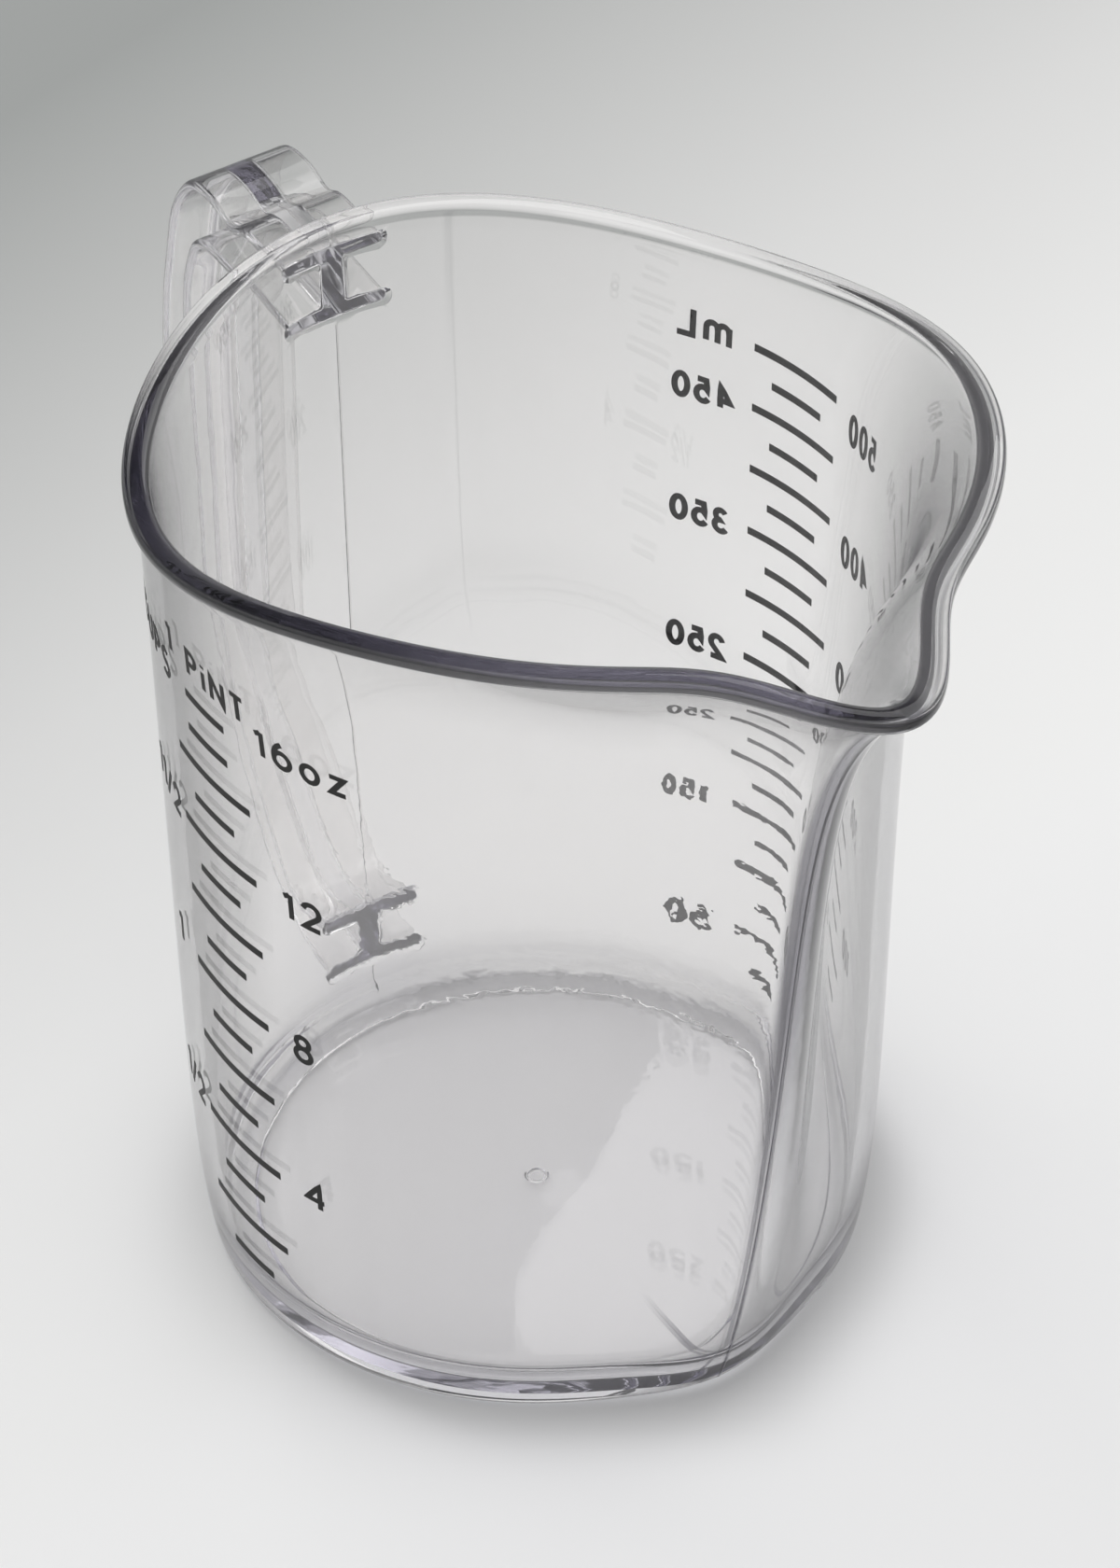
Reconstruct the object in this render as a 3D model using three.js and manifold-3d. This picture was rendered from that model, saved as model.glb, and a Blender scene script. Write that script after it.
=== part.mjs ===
// Measuring jug for one pint, moulded in clear plastic, with a printed scale on
// each side of the spout. Millimetres, Z up. The jug is built round the Z axis,
// standing on z = 0, with its spout towards +X and its handle towards -X. At the
// end it is moved along X, so that its origin lies under the middle of its length.

import * as THREE from 'three';
import { LoftGeometry } from 'three/addons/geometries/LoftGeometry.js';
import { mergeVertices } from 'three/addons/utils/BufferGeometryUtils.js';
import Module from 'manifold-3d';

// Round body
const bodyRadius = 40.33;        // outer radius that the straight wall would have at z = 0
const wallTaper = 0.0283;        // millimetres of radius gained for each one of height
const wall = 2.1;
const floorThickness = 2.3;
const floorCorner = 5;           // rounding inside, between the floor and the wall
const footTuck = 1.62;           // how far the wall draws in at the foot
const footTuckRise = 10.6;       // height in which that fades to about a third
const footRounding = 1.5;
const footRingWidth = 3;         // flat ring that the jug stands on
const footRecess = 0.6;          // depth of the underside inside that ring

// Height of the rim, which dips at the sides and climbs to the spout
const rimAtSpout = 131;
const rimAtShoulder = 123.5;     // 60 degrees round from the spout
const rimAtSide = 115.7;
const rimAtHandle = 115.7;

// Pointed keel that runs up the front and opens into the spout
const keelDepthAtFoot = 1.6;     // how far it stands out from the round body
const keelDepth = 13.5;
const keelFullHeight = 100;      // where it reaches that depth
const keelSpreadAtFoot = 14.7;   // degrees to either side, down to about a third
const keelSpreadAtSpout = 8.8;

// Outward flare of the whole front, with a slight flare all round under the lip
const spoutFlare = 22.3;
const spoutFlareRise = 21.2;     // height over which the flare shrinks to about a third
const spoutFlareSpread = 59;     // degrees
const spoutFlareShape = 1.6;     // below 2, the flare peaks more sharply at the front
const lipFlare = 0.35;
const lipFlareRise = 16;

// Lip round the rim
const lipOverhang = 1.1;
const lipHeight = 1.1;
const lipFillet = 1.8;           // height of the hollow under the overhang
const lipRounding = 0.5;
const rimInnerRounding = 0.5;

// Handle of I section: two flanges joined by a web
const handleWidth = 13.4;
const flange = 1.4;
const web = 2.8;
const edgeBevel = 0.4;
const gripReach = 73.3;          // from the body's axis to the back of the grip
const gripDepth = 6.8;           // over both flanges at the middle of the grip
const handleBelowRim = 3.6;
const handleFoot = 6.5;          // lowest face, where it meets the body
const upperArmDepth = 9.5;       // over both flanges where the handle leaves the body
const lowerArmDepth = 8.8;
const thumbDip = 1.4;            // of the hollow in front of the thumb rest
const thumbDrop = 0.4;           // from the arm's top to the top of the thumb rest
const jointGap = 0.3;            // between the handle's ends and the wall

// Printed scales
const ounce = 29.5735;           // millilitres
const ounceMarks = 16;
const millilitreStep = 25;
const millilitreMarks = 20;
const ounceAzimuth = -87;        // degrees round from the spout
const millilitreAzimuth = 101.3;
const ounceLong = 14.8;
const ounceShort = 8.1;
const millilitreLong = 13.4;
const millilitreShort = 7.9;
const markHeight = 0.9;
const inkThickness = 0.2;
const inkGap = 0.15;             // between the ink and the wall
const scaleMargin = 2;           // least height between a mark and the hollow under the lip

// Fineness of the curved faces
const columns = 84;              // round the body
const columnCrowding = 0.6;      // share by which the columns crowd towards the spout
const wallRows = 18;
const cornerRows = 4;
const handleSteps = 56;
const markSteps = 4;

const degrees = Math.PI / 180;

const wasm = await Module();
wasm.setup();

// The rim's height is a cosine series through the four heights named above.
function rimHeight(azimuth) {
  const mean = ((rimAtSpout + rimAtHandle) / 2 + rimAtSide) / 2;
  const second = (rimAtSpout + rimAtHandle) / 2 - mean;
  const odd = (rimAtSpout - rimAtHandle) / 2;
  const first = (odd + rimAtShoulder - mean + second / 2) / 1.5;
  return mean
    + first * Math.cos(azimuth)
    + second * Math.cos(2 * azimuth)
    + (odd - first) * Math.cos(3 * azimuth);
}

// One at the front, falling away to either side of it
function bell(azimuth, spread, shape) {
  const turned = Math.abs(Math.atan2(Math.sin(azimuth), Math.cos(azimuth)));
  return Math.exp(-((turned / (spread * degrees)) ** shape));
}

function keel(azimuth, z) {
  const climb = Math.min(Math.max(z / keelFullHeight, 0), 1);
  const depth = keelDepth - (keelDepth - keelDepthAtFoot) * (1 - climb) ** 2;
  const share = Math.min(Math.max(z / rimAtSpout, 0), 1);
  return depth * bell(azimuth, THREE.MathUtils.lerp(keelSpreadAtFoot, keelSpreadAtSpout, share), 2);
}

function flare(azimuth, z) {
  const front = spoutFlare * Math.exp((z - rimAtSpout) / spoutFlareRise);
  const near = Math.max(1 - (rimHeight(azimuth) - z) / lipFlareRise, 0);
  return front * bell(azimuth, spoutFlareSpread, spoutFlareShape) + lipFlare * near ** 2;
}

// Outer radius of the wall at one azimuth and height
function outerRadius(azimuth, z) {
  const cone = bodyRadius + wallTaper * z - footTuck * Math.exp(-z / footTuckRise);
  return cone + keel(azimuth, z) + flare(azimuth, z);
}

// How the outer face runs at one place: the direction square to it in plan, and
// how much longer a level line through the wall is than the wall is thick.
function wallDirection(azimuth, z) {
  const step = 0.001;
  const radius = outerRadius(azimuth, z);
  const turn = (outerRadius(azimuth + step, z) - outerRadius(azimuth - step, z)) / (2 * step);
  const lean = (outerRadius(azimuth, z + step) - outerRadius(azimuth, z - step)) / (2 * step);
  const length = Math.hypot(radius, turn);
  const c = Math.cos(azimuth);
  const s = Math.sin(azimuth);
  return {
    normal: new THREE.Vector3((radius * c + turn * s) / length, (radius * s - turn * c) / length, 0),
    stretch: Math.hypot(1, lean * radius / length),
  };
}

// A point a level distance inside the outer face, or outside it where that is negative
function levelPoint(azimuth, z, inward) {
  const radius = outerRadius(azimuth, z);
  const face = new THREE.Vector3(radius * Math.cos(azimuth), radius * Math.sin(azimuth), z);
  return face.addScaledVector(wallDirection(azimuth, z).normal, -inward);
}

// A point a depth inside the outer face, measured square to the face
function wallPoint(azimuth, z, depth) {
  return levelPoint(azimuth, z, depth * wallDirection(azimuth, z).stretch);
}

// A point of the lip: so far outside the wall that carries it, and below the rim
function lipPoint(azimuth, outward, drop) {
  const rim = rimHeight(azimuth);
  return levelPoint(azimuth, rim - lipHeight, -outward).setZ(rim - drop);
}

// A point of the rim's inner edge: so far outside the inner face, and below the rim
function innerEdgePoint(azimuth, outward, drop) {
  const rim = rimHeight(azimuth);
  const acrossWall = wall * wallDirection(azimuth, rim).stretch;
  return levelPoint(azimuth, rim, acrossWall - outward).setZ(rim - drop);
}

// One ring of points round the body, closer together where the spout bends most
function ring(place) {
  const points = [];
  for (let i = 0; i < columns; i++) {
    const turn = 2 * Math.PI * i / columns;
    points.push(place(turn - columnCrowding * Math.sin(turn)));
  }
  return points;
}

function rings(count, place) {
  return Array.from({ length: count + 1 }, (_, i) => ring((azimuth) => place(azimuth, i / count)));
}

// Rows that stand closer together at both ends of a wall
function crowdedEnds(share) {
  return share * share * (3 - 2 * share);
}

function footRings() {
  return rings(cornerRows, (azimuth, share) => {
    const angle = share * Math.PI / 2;
    const z = footRounding * (1 - Math.cos(angle));
    return wallPoint(azimuth, z, footRounding * (1 - Math.sin(angle)));
  });
}

function outerRings() {
  return rings(wallRows, (azimuth, share) => {
    const top = rimHeight(azimuth) - lipHeight - lipFillet;
    return wallPoint(azimuth, THREE.MathUtils.lerp(footRounding, top, crowdedEnds(share)), 0);
  }).slice(1);
}

// The underside is hollowed inside the foot ring and starts from its middle.
function underside() {
  const edge = footRounding + footRingWidth;
  return [
    ring(() => new THREE.Vector3(0, 0, footRecess)),
    ring((azimuth) => wallPoint(azimuth, 0, edge + footRecess).setZ(footRecess)),
    ring((azimuth) => wallPoint(azimuth, 0, edge)),
  ];
}

function lipRings() {
  const corner = lipRounding * (1 - Math.SQRT1_2);
  const innerCorner = rimInnerRounding * (1 - Math.SQRT1_2);
  return [
    ring((azimuth) => wallPoint(azimuth, rimHeight(azimuth) - lipHeight - lipFillet / 3, -lipOverhang / 4)),
    ring((azimuth) => lipPoint(azimuth, lipOverhang * 0.8, lipHeight)),
    ring((azimuth) => lipPoint(azimuth, lipOverhang, lipHeight - lipOverhang * 0.2)),
    ring((azimuth) => lipPoint(azimuth, lipOverhang, lipRounding)),
    ring((azimuth) => lipPoint(azimuth, lipOverhang - corner, corner)),
    ring((azimuth) => lipPoint(azimuth, lipOverhang - lipRounding, 0)),
    ring((azimuth) => innerEdgePoint(azimuth, rimInnerRounding, 0)),
    ring((azimuth) => innerEdgePoint(azimuth, innerCorner, innerCorner)),
  ];
}

function innerRings() {
  return rings(wallRows, (azimuth, share) => {
    const top = rimHeight(azimuth) - rimInnerRounding;
    const z = THREE.MathUtils.lerp(top, floorThickness + floorCorner, crowdedEnds(share));
    return wallPoint(azimuth, z, wall);
  });
}

function floorCornerRings() {
  return rings(cornerRows, (azimuth, share) => {
    const angle = (1 - share) * Math.PI / 2;
    const z = floorThickness + floorCorner * (1 - Math.cos(angle));
    return wallPoint(azimuth, z, wall + floorCorner * (1 - Math.sin(angle)));
  }).slice(1);
}

// The body, with its foot, keel, spout and lip, is one skin through level rings:
// from the underside up the outer face, over the lip and down inside to the floor.
function vesselGeometry() {
  const sections = [
    ...underside(),
    ...footRings(),
    ...outerRings(),
    ...lipRings(),
    ...innerRings(),
    ...floorCornerRings(),
    ring(() => new THREE.Vector3(0, 0, floorThickness)),
  ];
  return new LoftGeometry(sections);
}

// The space inside the outer face, grown by a gap, which trims the handle's ends
function wallEnvelope(grow) {
  const sections = rings(wallRows, (azimuth, share) => wallPoint(azimuth, share * rimAtHandle, -grow));
  return new LoftGeometry(sections, { capStart: true, capEnd: true });
}

// Area inside the body at one height, from its ring of points
function innerArea(z) {
  const rise = Math.min((z - floorThickness) / floorCorner, 1);
  const corner = floorCorner * (1 - Math.sqrt(1 - (1 - rise) ** 2));
  const points = ring((azimuth) => wallPoint(azimuth, z, wall + corner));
  return Math.abs(THREE.ShapeUtils.area(points));
}

// Heights at which the body holds each volume in turn, in millilitres
function levelsFor(volumes) {
  const slice = 0.5;
  const levels = [];
  let z = floorThickness;
  let held = 0;
  while (levels.length < volumes.length) {
    const added = innerArea(z + slice / 2) * slice / 1000;
    while (levels.length < volumes.length && held + added >= volumes[levels.length]) {
      levels.push(z + slice * (volumes[levels.length] - held) / added);
    }
    held += added;
    z += slice;
  }
  return levels;
}

function toManifold(geometry) {
  const bare = new THREE.BufferGeometry();
  bare.setAttribute('position', geometry.getAttribute('position'));
  bare.setIndex(geometry.getIndex());
  const merged = mergeVertices(bare, 1e-5);
  return new wasm.Manifold(new wasm.Mesh({
    numProp: 3,
    vertProperties: merged.getAttribute('position').array,
    triVerts: Uint32Array.from(merged.getIndex().array),
  }));
}

function toGeometry(solid) {
  const mesh = solid.getMesh();
  const geometry = new THREE.BufferGeometry();
  geometry.setAttribute('position', new THREE.BufferAttribute(mesh.vertProperties, 3));
  geometry.setIndex(new THREE.BufferAttribute(mesh.triVerts, 1));
  geometry.computeVertexNormals();
  return geometry;
}

const handleTop = rimAtHandle - handleBelowRim;
const gripMiddle = (handleTop + handleFoot) / 2;
const insideWall = bodyRadius - wall;

// The outer face of the handle's outer flange, seen from the side, from the body
// over the thumb rest, down the back of the grip and in again above the foot
function outerLine() {
  return handleCurve([
    [insideWall, handleTop],
    [gripReach - 25, handleTop],
    [gripReach - 21.3, handleTop - thumbDip * 0.15],
    [gripReach - 18.7, handleTop - thumbDip],
    [gripReach - 15.5, handleTop - thumbDrop - 0.1],
    [gripReach - 12.3, handleTop - thumbDrop],
    [gripReach - 9.4, handleTop - thumbDrop - 0.8],
    [gripReach - 7.1, handleTop - 3.4],
    [gripReach - 4.5, handleTop - 8],
    [gripReach - 2.6, handleTop - 16.2],
    [gripReach - 1.3, handleTop - 24.1],
    [gripReach, gripMiddle],
    [gripReach - 0.8, handleFoot + 31.5],
    [gripReach - 4.3, handleFoot + 19.5],
    [gripReach - 10.3, handleFoot + 10.5],
    [gripReach - 18.3, handleFoot + 4],
    [gripReach - 26.3, handleFoot + 0.7],
    [insideWall, handleFoot],
  ]);
}

// The face that the fingers touch, on the inner flange
function fingerLine() {
  const front = gripReach - gripDepth;
  const top = handleTop - upperArmDepth;
  const bottom = handleFoot + lowerArmDepth;
  return handleCurve([
    [insideWall, top],
    [front - 12, top + 0.1],
    [front - 5.8, top - 0.2],
    [front - 3.5, top - 1.7],
    [front - 2.2, top - 4.6],
    [front - 1.1, top - 8.9],
    [front - 0.2, top - 28.6],
    [front, gripMiddle - 12],
    [front - 0.5, bottom + 17.7],
    [front - 3.5, bottom + 12.2],
    [front - 9.1, bottom + 5.2],
    [front - 12.7, bottom + 1.2],
    [front - 16.9, bottom - 1.9],
    [front - 20.5, bottom - 2.1],
    [insideWall, bottom],
  ]);
}

function handleCurve(corners) {
  const curve = new THREE.CatmullRomCurve3(corners.map(([reach, z]) => new THREE.Vector3(-reach, z, 0)));
  return curve.getSpacedPoints(handleSteps).map((point) => new THREE.Vector2(point.x, point.y));
}

// The same line moved sideways: to the right of its direction where positive
function offsetLine(line, distance) {
  return line.map((point, i) => {
    const before = line[Math.max(i - 1, 0)];
    const after = line[Math.min(i + 1, line.length - 1)];
    const along = after.clone().sub(before).normalize();
    return new THREE.Vector2(point.x + along.y * distance, point.y - along.x * distance);
  });
}

// A plate between two lines in the handle's plane, of a width across that plane
function plate(lineA, lineB, width, bevel) {
  const shape = new THREE.Shape([...lineA, ...lineB.slice().reverse()]);
  const geometry = new THREE.ExtrudeGeometry(shape, {
    depth: width - 2 * bevel,
    bevelEnabled: bevel > 0,
    bevelThickness: bevel,
    bevelSize: bevel,
    bevelOffset: -bevel,
    bevelSegments: 1,
  });
  geometry.translate(0, 0, bevel - width / 2);
  return geometry.rotateX(Math.PI / 2);
}

function handleGeometry() {
  const outer = outerLine();
  const finger = fingerLine();
  const outerFlange = plate(outer, offsetLine(outer, -flange), handleWidth, edgeBevel);
  const innerFlange = plate(finger, offsetLine(finger, flange), handleWidth, edgeBevel);
  const webPlate = plate(offsetLine(outer, -flange / 2), offsetLine(finger, flange / 2), web, 0);
  const bar = toManifold(outerFlange).add(toManifold(innerFlange)).add(toManifold(webPlate));
  return toGeometry(bar.subtract(toManifold(wallEnvelope(jointGap))));
}

// A bar of ink that follows the wall at one level
function markGeometry(azimuth, z, length) {
  const geometry = new THREE.BoxGeometry(length, inkThickness, markHeight, markSteps, 1, 1);
  const position = geometry.getAttribute('position');
  const radius = outerRadius(azimuth * degrees, z);
  for (let i = 0; i < position.count; i++) {
    const around = azimuth * degrees - position.getX(i) / radius;
    const outward = inkGap + inkThickness / 2 + position.getY(i);
    const point = wallPoint(around, z + position.getZ(i), -outward);
    position.setXYZ(i, point.x, point.y, point.z);
  }
  geometry.computeVertexNormals();
  return geometry;
}

const clearPlastic = new THREE.MeshStandardMaterial({
  color: 0xd9d7de,
  roughness: 0.08,
  metalness: 0,
  transparent: true,
  opacity: 0.35,
});
const ink = new THREE.MeshStandardMaterial({ color: 0x2a2927, roughness: 0.45, metalness: 0 });

function piece(name, geometry, material) {
  const mesh = new THREE.Mesh(geometry, material);
  mesh.name = name;
  return mesh;
}

const jug = new THREE.Group();
jug.name = 'measuring_jug';
jug.add(piece('vessel', vesselGeometry(), clearPlastic));
jug.add(piece('handle', handleGeometry(), clearPlastic));

// One scale: a mark at the level of each volume, as far up as the lip leaves room
function addScale(azimuth, step, count, lengthOf, nameOf) {
  const top = rimHeight(azimuth * degrees) - lipHeight - lipFillet - scaleMargin;
  const volumes = Array.from({ length: count }, (_, i) => (i + 1) * step);
  levelsFor(volumes).forEach((z, i) => {
    if (z < top) {
      jug.add(piece(nameOf(i + 1), markGeometry(azimuth, z, lengthOf(i + 1)), ink));
    }
  });
}

// Every second mark is long, but the ounce scale's last one is short again.
addScale(
  ounceAzimuth,
  ounce,
  ounceMarks,
  (count) => (count % 2 === 0 && count < ounceMarks ? ounceLong : ounceShort),
  (count) => `ounce_mark_${String(count).padStart(2, '0')}`,
);
addScale(
  millilitreAzimuth,
  millilitreStep,
  millilitreMarks,
  (count) => (count % 2 === 0 ? millilitreLong : millilitreShort),
  (count) => `millilitre_mark_${String(count * millilitreStep).padStart(3, '0')}`,
);

const bounds = new THREE.Box3().setFromObject(jug);
jug.position.x = -(bounds.min.x + bounds.max.x) / 2;

export default jug;
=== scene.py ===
# Measuring jug for one pint: a single clear moulding with its handle, and three
# scales printed on its outside. Sizes are in millimetres in the jug's own axes, with
# the body's axis upright through the origin and the spout towards +X. Every finished
# mesh is then scaled to metres and moved to the place that the frame gives it.
import math

import bmesh
import bpy
import numpy as np
from mathutils import Matrix, Vector


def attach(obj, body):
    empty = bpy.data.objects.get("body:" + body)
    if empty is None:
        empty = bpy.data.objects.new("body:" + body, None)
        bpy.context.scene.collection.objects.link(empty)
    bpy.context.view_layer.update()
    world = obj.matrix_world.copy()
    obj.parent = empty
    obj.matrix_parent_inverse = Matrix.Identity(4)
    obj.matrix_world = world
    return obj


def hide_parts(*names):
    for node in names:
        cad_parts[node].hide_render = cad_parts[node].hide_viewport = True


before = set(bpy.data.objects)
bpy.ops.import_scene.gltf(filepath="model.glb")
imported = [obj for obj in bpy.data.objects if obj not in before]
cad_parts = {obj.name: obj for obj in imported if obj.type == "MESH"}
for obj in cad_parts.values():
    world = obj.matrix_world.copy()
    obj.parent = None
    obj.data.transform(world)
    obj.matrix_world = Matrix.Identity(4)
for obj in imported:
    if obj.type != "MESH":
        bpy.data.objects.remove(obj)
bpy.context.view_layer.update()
scene = bpy.context.scene
scene.view_settings.view_transform = "Standard"

# Light runs down inside the clear walls by many reflections, so it is followed far.
scene.cycles.max_bounces = 24
scene.cycles.glossy_bounces = 24
scene.cycles.transmission_bounces = 24
scene.cycles.transparent_max_bounces = 32

# The photographer's place: a long lens that looks down past the right of the spout.
millimetre = 0.001
axis_shift = -3.3789             # from the middle of the jug's length to the body's axis
lens_pixels = 11428.8            # focal length, for a picture 1200 pixels wide
picture_width = 1200
film_width = 36
view_azimuth = -0.5396           # radians round from the spout
view_elevation = 0.7185
view_roll = -0.0136
view_distance = 1246.25
view_target = Vector((-10.41 + axis_shift, 10.20, 50))


def direction_to(azimuth, elevation):
    return Vector((
        math.cos(azimuth) * math.cos(elevation),
        math.sin(azimuth) * math.cos(elevation),
        math.sin(elevation),
    ))


view_back = direction_to(view_azimuth, view_elevation)
level_right = Vector((0, 0, 1)).cross(view_back).normalized()
level_up = view_back.cross(level_right)
view_right = level_right * math.cos(view_roll) + level_up * math.sin(view_roll)
view_up = level_up * math.cos(view_roll) - level_right * math.sin(view_roll)
camera_data = bpy.data.cameras.new("photographer")
camera_data.sensor_fit = "HORIZONTAL"
camera_data.sensor_width = film_width
camera_data.lens = film_width * lens_pixels / picture_width
camera_data.clip_start = 0.05
camera = bpy.data.objects.new("photographer", camera_data)
scene.collection.objects.link(camera)
camera.matrix_world = (
    Matrix.Translation((view_target + view_back * view_distance) * millimetre)
    @ Matrix((view_right, view_up, view_back)).transposed().to_4x4()
)
scene.camera = camera


# The studio: a pale table top with painted shade that greys it behind the handle, pale walls with one
# dark opening, and soft boxes behind the jug on its right, on its left and over it.
def new_material(name):
    material = bpy.data.materials.new(name)
    material.use_nodes = True
    nodes = material.node_tree.nodes
    return material, nodes, material.node_tree.links, nodes["Principled BSDF"]


# Feeds a node's input from another node, or sets it to a plain value
def put(value, socket):
    if isinstance(value, bpy.types.NodeSocket):
        links.new(value, socket)
    else:
        socket.default_value = value


# The functions from here to bumped each add a node to the tree in hand, which is the one
# that the names nodes and links stand for, and return what comes out of it.
def combined(operation, first, second):
    node = nodes.new("ShaderNodeMath")
    node.operation = operation
    links.new(first, node.inputs[0])
    links.new(second, node.inputs[1])
    return node.outputs["Value"]


def times(first, second):
    return combined("MULTIPLY", first, second)


def larger(first, second):
    return combined("MAXIMUM", first, second)


def mixed(share, first, second):
    node = nodes.new("ShaderNodeMix")
    node.data_type = "RGBA"
    put(share, node.inputs["Factor"])
    put(first, node.inputs["A"])
    put(second, node.inputs["B"])
    return node.outputs["Result"]


# Goes from low to high while the value goes from start up to end
def ranged(value, start, end, low=0, high=1, curve="LINEAR"):
    node = nodes.new("ShaderNodeMapRange")
    node.interpolation_type = curve
    links.new(value, node.inputs["Value"])
    for name, number in (("From Min", start), ("From Max", end), ("To Min", low), ("To Max", high)):
        node.inputs[name].default_value = number
    return node.outputs["Result"]


# Goes smoothly from 0 to 1 while the value goes from start up or down to end
def between(value, start, end):
    low, high = float(start > end), float(start < end)
    return ranged(value, min(start, end), max(start, end), low, high, "SMOOTHSTEP")


def ramp(value, stops):
    node = nodes.new("ShaderNodeValToRGB")
    links.new(value, node.inputs["Fac"])
    elements = node.color_ramp.elements
    for element, (position, colour) in zip(list(elements), (stops[0], stops[-1])):
        element.position = position
        element.color = colour
    for position, colour in stops[1:-1]:
        elements.new(position).color = colour
    return node.outputs["Color"]


def parts_of(vector):
    node = nodes.new("ShaderNodeSeparateXYZ")
    links.new(vector, node.inputs["Vector"])
    return node.outputs


def measured(operation, vector, other):
    node = nodes.new("ShaderNodeVectorMath")
    node.operation = operation
    links.new(vector, node.inputs[0])
    node.inputs[1].default_value = other
    return node.outputs["Value"]


def mapped(vector, name, value):
    node = nodes.new("ShaderNodeMapping")
    node.inputs[name].default_value = value
    links.new(vector, node.inputs["Vector"])
    return node.outputs["Vector"]


def noise(vector, scale, detail=2):
    node = nodes.new("ShaderNodeTexNoise")
    node.inputs["Scale"].default_value = scale
    node.inputs["Detail"].default_value = detail
    links.new(vector, node.inputs["Vector"])
    return node.outputs["Fac"]


def bumped(height, strength, distance, normal=None):
    node = nodes.new("ShaderNodeBump")
    node.inputs["Strength"].default_value = strength
    node.inputs["Distance"].default_value = distance
    links.new(height, node.inputs["Height"])
    if normal:
        links.new(normal, node.inputs["Normal"])
    return node.outputs["Normal"]


table_size = 6
table_drop = -0.0001             # a hair under the jug's foot, so that no faces coincide
table_plain = (0.76, 0.76, 0.75, 1)
fade_turn = math.radians(225)    # the table darkens this way round from the camera
fade_length = 0.2
fade_start = (0.88, 0.88, 0.88, 1)
fade_end = (0.33, 0.34, 0.335, 1)
fade_stops = ((0.055, 0.87), (0.28, 0.81), (0.52, 0.68))
bm = bmesh.new()
bmesh.ops.create_grid(bm, x_segments=1, y_segments=1, size=table_size / 2)
bmesh.ops.translate(bm, verts=bm.verts, vec=(0, 0, table_drop))
table_mesh = bpy.data.meshes.new("table")
bm.to_mesh(table_mesh)
bm.free()
table = bpy.data.objects.new("table", table_mesh)
scene.collection.objects.link(table)

table_material, nodes, links, shader = new_material("table_paper")
place = nodes.new("ShaderNodeTexCoord")
# Painted shade: the camera, reflections and rays through the glass see the table grow grey towards the
# back, while the light it throws back stays plain grey.
turned = mapped(place.outputs["Object"], "Rotation", (0, 0, -(view_azimuth + fade_turn)))
stops = [(position, (level, level, level * 0.995, 1)) for position, level in fade_stops]
painted_table_shade = ramp(ranged(parts_of(turned)["X"], 0, fade_length), [(0, fade_start)] + stops + [(1, fade_end)])
ray = nodes.new("ShaderNodeLightPath").outputs
seen = larger(larger(ray["Is Camera Ray"], ray["Is Transmission Ray"]), ray["Is Glossy Ray"])
links.new(mixed(seen, table_plain, painted_table_shade), shader.inputs["Base Color"])
shader.inputs["Roughness"].default_value = 0.9
shader.inputs["Specular IOR Level"].default_value = 0.1
table_mesh.materials.append(table_material)

world = bpy.data.worlds.new("studio")
world.use_nodes = True
scene.world = world
nodes = world.node_tree.nodes
links = world.node_tree.links
direction = nodes.new("ShaderNodeTexCoord").outputs["Generated"]
room_low = (0.66, 0.66, 0.67, 1)
room_high = (0.95, 0.95, 0.94, 1)
room = ramp(parts_of(direction)["Z"], [(0, room_low), (0.6, room_high)])

# The open, unlit side of the room is behind the jug on its left.
opening_direction = direction_to(view_azimuth + math.radians(202), math.radians(42))
dark_level = (0.035, 0.035, 0.04, 1)
opening = between(measured("DOT_PRODUCT", direction, opening_direction), 0.72, 0.92)
walls = mixed(opening, room, dark_level)
ray = nodes.new("ShaderNodeLightPath").outputs
white = (1, 1, 1, 1)
links.new(mixed(ray["Is Camera Ray"], walls, white), nodes["Background"].inputs["Color"])
room_light = 0.84
table_light = 0.67               # what the room gives to matt surfaces
strength = ranged(ray["Is Diffuse Ray"], 0, 1, low=room_light, high=table_light)
links.new(strength, nodes["Background"].inputs["Strength"])

lamp_target = Vector((0, 0, 0.06))   # in metres, and so are the lamps' places and sizes


def soft_light(name, azimuth, elevation, distance, width, height, power, roll=0):
    lamp = bpy.data.lights.new(name, "AREA")
    lamp.shape = "RECTANGLE"
    lamp.size = width
    lamp.size_y = height
    lamp.energy = power
    bench = bpy.data.objects.new(name, lamp)
    back = direction_to(azimuth, elevation)
    bench.matrix_world = (
        Matrix.Translation(lamp_target + back * distance)
        @ back.to_track_quat("Z", "Y").to_matrix().to_4x4()
        @ Matrix.Rotation(roll, 4, "Z")
    )
    bench.visible_camera = False
    scene.collection.objects.link(bench)
    return bench


soft_light(
    "window_behind", view_azimuth + math.radians(151.5), math.radians(43),
    distance=1.3, width=0.9, height=0.9, power=3.1, roll=math.radians(-12),
)
box_behind = soft_light(
    "box_behind", view_azimuth - math.radians(140), math.radians(52),
    distance=1.4, width=0.7, height=0.7, power=7.4,
)
box_behind.visible_glossy = box_behind.visible_transmission = False
soft_light(
    "box_above", view_azimuth - math.radians(90), math.radians(75),
    distance=1.4, width=1.2, height=1.2, power=3.2,
)

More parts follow.
